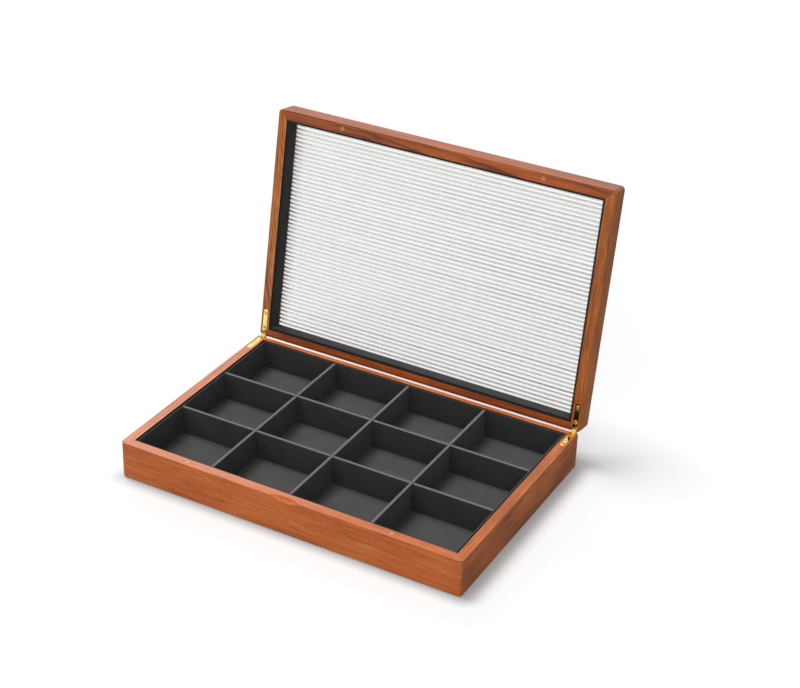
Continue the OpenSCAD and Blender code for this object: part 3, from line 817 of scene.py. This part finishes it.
def newTree(name, sizes):  # sizes: name to kind of each named input
    tree = bpy.data.node_groups.new(name, "GeometryNodeTree")
    tree.interface.new_socket("Geometry", in_out="INPUT", socket_type="NodeSocketGeometry")
    for size, kind in sizes.items():
        tree.interface.new_socket(size, in_out="INPUT", socket_type="NodeSocket" + kind)
    tree.interface.new_socket("Geometry", in_out="OUTPUT", socket_type="NodeSocketGeometry")
    return tree, add(tree, "NodeGroupInput", {}).outputs


def runTree(name, tree, start, values):
    maker = intoScene("maker", start)
    nodes = maker.modifiers.new("maker", "NODES")
    nodes.node_group = tree
    for socket in tree.interface.items_tree:
        if socket.in_out == "INPUT" and socket.name in values:
            nodes[socket.identifier] = values[socket.name]
    shape = maker.evaluated_get(bpy.context.evaluated_depsgraph_get())
    mesh = bpy.data.meshes.new_from_object(shape)
    mesh.name = name
    maker.modifiers.clear()
    bpy.data.objects.remove(maker)
    return mesh


# Reeded panel: reeds run left to right on the inner face, and the outer face is flat.

def reedTree():
    tree, given = newTree("reeded panel", {
        "Width": "Float", "Depth": "Float", "Thickness": "Float", "Reed height": "Float",
        "Pitch": "Float", "Valley": "Float", "Steps": "Int", "Material": "Material"})
    count = add(tree, "ShaderNodeMath", {0: given["Depth"], 1: given["Pitch"]}, operation="DIVIDE")
    count = add(tree, "ShaderNodeMath", {0: count}, operation="FLOOR")
    step = add(tree, "ShaderNodeMath", {0: given["Pitch"], 1: given["Steps"]}, operation="DIVIDE")
    steps = add(tree, "ShaderNodeMath", {0: count, 1: given["Steps"]}, operation="MULTIPLY")
    borders = 2.0  # one more step at each border
    steps = add(tree, "ShaderNodeMath", {0: steps, 1: borders}, operation="ADD")
    rows = add(tree, "ShaderNodeMath", {0: steps, 1: 1.0}, operation="ADD")
    reach = add(tree, "ShaderNodeMath", {0: steps, 1: step}, operation="MULTIPLY")
    sheet = add(tree, "GeometryNodeMeshGrid", {
        "Size X": given["Width"], "Size Y": reach, "Vertices X": 2, "Vertices Y": rows})
    place = add(tree, "ShaderNodeSeparateXYZ", {0: add(tree, "GeometryNodeInputPosition", {})})
    across = place.outputs["Y"]

    # each reed is the arc that rises by its height over its width, and the valleys between are flat
    odd = add(tree, "ShaderNodeMath", {0: count, 1: 0.5}, operation="MULTIPLY")
    turn = add(tree, "ShaderNodeMath", {0: across, 1: given["Pitch"]}, operation="DIVIDE")
    turn = add(tree, "ShaderNodeMath", {0: turn, 1: odd}, operation="ADD")
    phase = add(tree, "ShaderNodeMath", {0: turn, 1: 1.0}, operation="FLOORED_MODULO")
    phase = add(tree, "ShaderNodeMath", {0: phase, 1: 0.5}, operation="SUBTRACT")
    off = add(tree, "ShaderNodeMath", {0: phase, 1: given["Pitch"]}, operation="MULTIPLY")
    half = add(tree, "ShaderNodeMath", {
        0: given["Pitch"], 1: given["Valley"]}, operation="SUBTRACT")
    half = add(tree, "ShaderNodeMath", {0: half, 1: 0.5}, operation="MULTIPLY")
    halfSquared = add(tree, "ShaderNodeMath", {0: half, 1: 2.0}, operation="POWER")
    heightSquared = add(tree, "ShaderNodeMath", {
        0: given["Reed height"], 1: 2.0}, operation="POWER")
    radius = add(tree, "ShaderNodeMath", {0: halfSquared, 1: heightSquared}, operation="ADD")
    radius = add(tree, "ShaderNodeMath", {0: radius, 1: given["Reed height"]}, operation="DIVIDE")
    radius = add(tree, "ShaderNodeMath", {0: radius, 1: 0.5}, operation="MULTIPLY")
    radiusSquared = add(tree, "ShaderNodeMath", {0: radius, 1: 2.0}, operation="POWER")
    offSquared = add(tree, "ShaderNodeMath", {0: off, 1: off}, operation="MULTIPLY")
    arc = add(tree, "ShaderNodeMath", {0: radiusSquared, 1: offSquared}, operation="SUBTRACT")
    arc = add(tree, "ShaderNodeMath", {0: arc}, operation="SQRT")
    arc = add(tree, "ShaderNodeMath", {0: arc, 1: radius}, operation="SUBTRACT")
    arc = add(tree, "ShaderNodeMath", {0: arc, 1: given["Reed height"]}, operation="ADD")
    arc = add(tree, "ShaderNodeMath", {0: arc, 1: 0.0}, operation="MAXIMUM")
    inside = add(tree, "ShaderNodeMath", {0: turn, 1: 0.0}, operation="GREATER_THAN")
    below = add(tree, "ShaderNodeMath", {0: turn, 1: count}, operation="LESS_THAN")
    arc = add(tree, "ShaderNodeMath", {0: arc, 1: inside}, operation="MULTIPLY")
    arc = add(tree, "ShaderNodeMath", {0: arc, 1: below}, operation="MULTIPLY")
    rise = add(tree, "ShaderNodeMath", {0: given["Reed height"], 1: arc}, operation="SUBTRACT")

    # the outermost rows go out to the sheet's edges
    side = add(tree, "ShaderNodeMath", {0: across}, operation="SIGN")
    edge = add(tree, "ShaderNodeMath", {0: given["Depth"], 1: 0.5}, operation="MULTIPLY")
    edge = add(tree, "ShaderNodeMath", {0: edge, 1: side}, operation="MULTIPLY")
    last = add(tree, "ShaderNodeMath", {0: reach, 1: 0.5}, operation="MULTIPLY")
    last = add(tree, "ShaderNodeMath", {0: step, 1: -0.5, 2: last}, operation="MULTIPLY_ADD")
    apart = add(tree, "ShaderNodeMath", {0: across}, operation="ABSOLUTE")
    border = add(tree, "ShaderNodeMath", {0: apart, 1: last}, operation="GREATER_THAN")
    shift = add(tree, "ShaderNodeMath", {0: edge, 1: across}, operation="SUBTRACT")
    shift = add(tree, "ShaderNodeMath", {0: shift, 1: border}, operation="MULTIPLY")
    reeded = add(tree, "GeometryNodeSetPosition", {
        "Geometry": sheet, "Offset": add(tree, "ShaderNodeCombineXYZ", {"Y": shift, "Z": rise})})

    # the flat outer face, with walls down to the reeds
    backs = add(tree, "GeometryNodeExtrudeMesh", {
        "Mesh": reeded, "Offset": (0, 0, 1), "Offset Scale": given["Thickness"],
        "Individual": False})
    flat = add(tree, "ShaderNodeCombineXYZ", {
        "X": place.outputs["X"], "Y": place.outputs["Y"], "Z": given["Thickness"]})
    backs = add(tree, "GeometryNodeSetPosition", {
        "Geometry": backs, "Selection": backs.outputs["Top"], "Position": flat})
    front = add(tree, "GeometryNodeFlipFaces", {0: reeded})
    whole = add(tree, "GeometryNodeJoinGeometry", {0: backs})
    tree.links.new(front.outputs[0], whole.inputs[0])
    whole = add(tree, "GeometryNodeMergeByDistance", {
        "Geometry": whole, "Distance": solidLimits["merge"]})
    whole = add(tree, "GeometryNodeSetShadeSmooth", {"Geometry": whole, "Shade Smooth": True})
    whole = add(tree, "GeometryNodeRealizeInstances", {0: whole})
    whole = add(tree, "GeometryNodeSetMaterial", {"Geometry": whole, "Material": given["Material"]})
    add(tree, "NodeGroupOutput", {0: whole})
    return tree


panelLow, panelHigh = closedBox("lid_reeded_panel")
panelSize = panelHigh - panelLow
panelMiddle = (panelLow + panelHigh) / 2
panelMesh = runTree("reeded_panel", reedTree(), bpy.data.meshes.new("start"), {
    **reedLook, "Width": panelSize.x, "Depth": panelSize.y, "Thickness": panelSize.z,
    "Material": acrylicMaterial(acrylicLook, panelLow, panelHigh)})
panelMesh.transform(Matrix.Translation((panelMiddle.x, panelMiddle.y, panelLow.z)))
panelMesh.set_sharp_from_angle(angle=math.radians(reedLook["sharpFrom"]))
panelMesh.transform(openLid)
addPiece("reeded_panel", panelMesh, "lid", ["lid_reeded_panel"])
print("reeded panel made, faces:", len(panelMesh.polygons))


# Hinge leaves, pins and magnets keep their CAD shape, with softened edges.

metalEdge = {  # radius and steps
    "leaf": (0.18 * mm, 3), "pin": (0.12 * mm, 2), "magnet": (0.15 * mm, 2)}
hingeBrass = brassMaterial("polished brass", *brassLook["leaf"], brassLook)
screwBrass = brassMaterial("turned brass", *brassLook["screw"], brassLook)
magnetDisc = magnetMaterial(magnetLook)
for node in frame["nodes"]:
    if node.endswith("_leaf"):
        dress(node, "brass_" + node, hingeBrass, "polished_brass", *metalEdge["leaf"])
    elif node.endswith("_pin"):
        dress(node, "brass_" + node, hingeBrass, "polished_brass", *metalEdge["pin"])
    elif node.endswith("_magnet"):
        dress(node, "disc_" + node, magnetDisc, "magnet_steel", *metalEdge["magnet"])
print("hinges and magnets dressed")


# Screws: a countersunk head with a low crown and a cross recess, repeated at each hole.

screwLook = {
    "Head height": 1.0 * mm,
    "Shank radius": 0.9 * mm,
    "Crown": 0.24 * mm,
    "Sink": 0.16 * mm,  # keeps the crown's top near the leaf's face
    "Recess length": 2.1 * mm,
    "Recess width": 0.42 * mm,
    "Recess depth": 0.5 * mm,
    "Sides": 32,
    "Seed": 4,  # turns each cross its own way
    "headRings": 5,
    "crownFrom": 0.9,  # share of the head's height above which it is crowned
    "secondBar": 0.96,  # the cross's second bar is a little shallower, so no faces coincide
    "sharpFrom": 30,  # degrees between faces that meet in a crisp edge
}


def screwTree():
    tree, given = newTree("countersunk screws", {
        "Head radius": "Float", "Head height": "Float", "Shank radius": "Float", "Length": "Float",
        "Crown": "Float", "Sink": "Float", "Recess length": "Float", "Recess width": "Float",
        "Recess depth": "Float", "Sides": "Int", "Flip": "Float", "Seed": "Int",
        "Material": "Material"})
    head = add(tree, "GeometryNodeMeshCone", {
        "Vertices": given["Sides"], "Fill Segments": screwLook["headRings"],
        "Radius Top": given["Head radius"],
        "Radius Bottom": given["Shank radius"], "Depth": given["Head height"]},
        fill_type="TRIANGLE_FAN")
    place = add(tree, "GeometryNodeInputPosition", {})
    apart = add(tree, "ShaderNodeSeparateXYZ", {0: place})
    flat = add(tree, "ShaderNodeCombineXYZ", {"X": apart.outputs["X"], "Y": apart.outputs["Y"]})
    out = add(tree, "ShaderNodeVectorMath", {0: flat}, operation="LENGTH").outputs["Value"]
    out = add(tree, "ShaderNodeMath", {0: out, 1: given["Head radius"]}, operation="DIVIDE")
    out = add(tree, "ShaderNodeMath", {0: out, 1: out}, operation="MULTIPLY")
    dome = add(tree, "ShaderNodeMath", {0: 1.0, 1: out}, operation="SUBTRACT")
    dome = add(tree, "ShaderNodeMath", {0: dome, 1: given["Crown"]}, operation="MULTIPLY")
    upper = add(tree, "ShaderNodeMath", {
        0: given["Head height"], 1: screwLook["crownFrom"]}, operation="MULTIPLY")
    onTop = add(tree, "ShaderNodeMath", {0: apart.outputs["Z"], 1: upper}, operation="GREATER_THAN")
    head = add(tree, "GeometryNodeSetPosition", {
        "Geometry": head, "Selection": onTop,
        "Offset": add(tree, "ShaderNodeCombineXYZ", {"Z": dome})})
    top = add(tree, "ShaderNodeMath", {0: given["Head height"], 1: given["Sink"]}, operation="ADD")
    lower = add(tree, "ShaderNodeMath", {0: top, 1: -1.0}, operation="MULTIPLY")
    head = add(tree, "GeometryNodeTransform", {
        "Geometry": head, "Translation": add(tree, "ShaderNodeCombineXYZ", {"Z": lower})})

    # the cross recess, and the shank below the head
    recessSize = add(tree, "ShaderNodeCombineXYZ", {
        "X": given["Recess length"], "Y": given["Recess width"],
        "Z": add(tree, "ShaderNodeMath", {0: given["Recess depth"], 1: 2.0}, operation="MULTIPLY")})
    bar = add(tree, "GeometryNodeMeshCube", {"Size": recessSize})
    crossBar = add(tree, "GeometryNodeTransform", {
        "Geometry": bar, "Rotation": (0, 0, math.radians(90)),
        "Scale": (1.0, 1.0, screwLook["secondBar"])})
    cross = add(tree, "GeometryNodeMeshBoolean", {1: bar}, operation="UNION")
    tree.links.new(crossBar.outputs[0], cross.inputs[1])
    head = add(tree, "GeometryNodeMeshBoolean", {0: head, 1: cross}, operation="DIFFERENCE")
    shankLength = add(tree, "ShaderNodeMath", {0: given["Length"], 1: top}, operation="SUBTRACT")
    shankMiddle = add(tree, "ShaderNodeMath", {0: shankLength, 1: -0.5}, operation="MULTIPLY")
    shankMiddle = add(tree, "ShaderNodeMath", {0: shankMiddle, 1: top}, operation="SUBTRACT")
    shank = add(tree, "GeometryNodeMeshCylinder", {
        "Vertices": given["Sides"], "Radius": given["Shank radius"], "Depth": shankLength})
    shank = add(tree, "GeometryNodeTransform", {
        "Geometry": shank, "Translation": add(tree, "ShaderNodeCombineXYZ", {"Z": shankMiddle})})
    screw = add(tree, "GeometryNodeJoinGeometry", {0: head})
    tree.links.new(shank.outputs[0], screw.inputs[0])

    # one on each point, turned by chance as a driver leaves it
    spin = add(tree, "FunctionNodeRandomValue", {
        "Seed": given["Seed"], 2: 0.0, 3: math.pi}, data_type="FLOAT")
    turn = add(tree, "ShaderNodeCombineXYZ", {"X": given["Flip"], "Z": spin.outputs[1]})
    row = add(tree, "GeometryNodeInstanceOnPoints", {
        "Points": given["Geometry"], "Instance": screw, "Rotation": turn})
    row = add(tree, "GeometryNodeRealizeInstances", {0: row})
    row = add(tree, "GeometryNodeSetMaterial", {"Geometry": row, "Material": given["Material"]})
    add(tree, "NodeGroupOutput", {0: row})
    return tree


screws = screwTree()
for body in frame["bodies"]:
    nodes = [node for node in frame["nodes"] if node.endswith("_screw") and bodyOf[node] == body]
    boxes = [closedBox(node) for node in nodes]
    flipped = body == "lid"  # the heads of the lid's screws face down when it is closed
    places = [
        ((low.x + high.x) / 2, (low.y + high.y) / 2, low.z if flipped else high.z)
        for low, high in boxes]
    low, high = boxes[0]
    start = bpy.data.meshes.new("start")
    start.from_pydata(places, [], [])
    mesh = runTree(body + "_hinge_screws", screws, start, {
        **screwLook, "Head radius": (high.x - low.x) / 2, "Length": high.z - low.z,
        "Flip": math.pi if flipped else 0.0, "Material": screwBrass})
    mesh.shade_smooth()
    mesh.set_sharp_from_angle(angle=math.radians(screwLook["sharpFrom"]))
    if flipped:
        mesh.transform(openLid)
    addPiece(body + "_hinge_screws", mesh, body, nodes)
    print(body, "screws made, faces:", len(mesh.polygons))


bpy.context.view_layer.update()
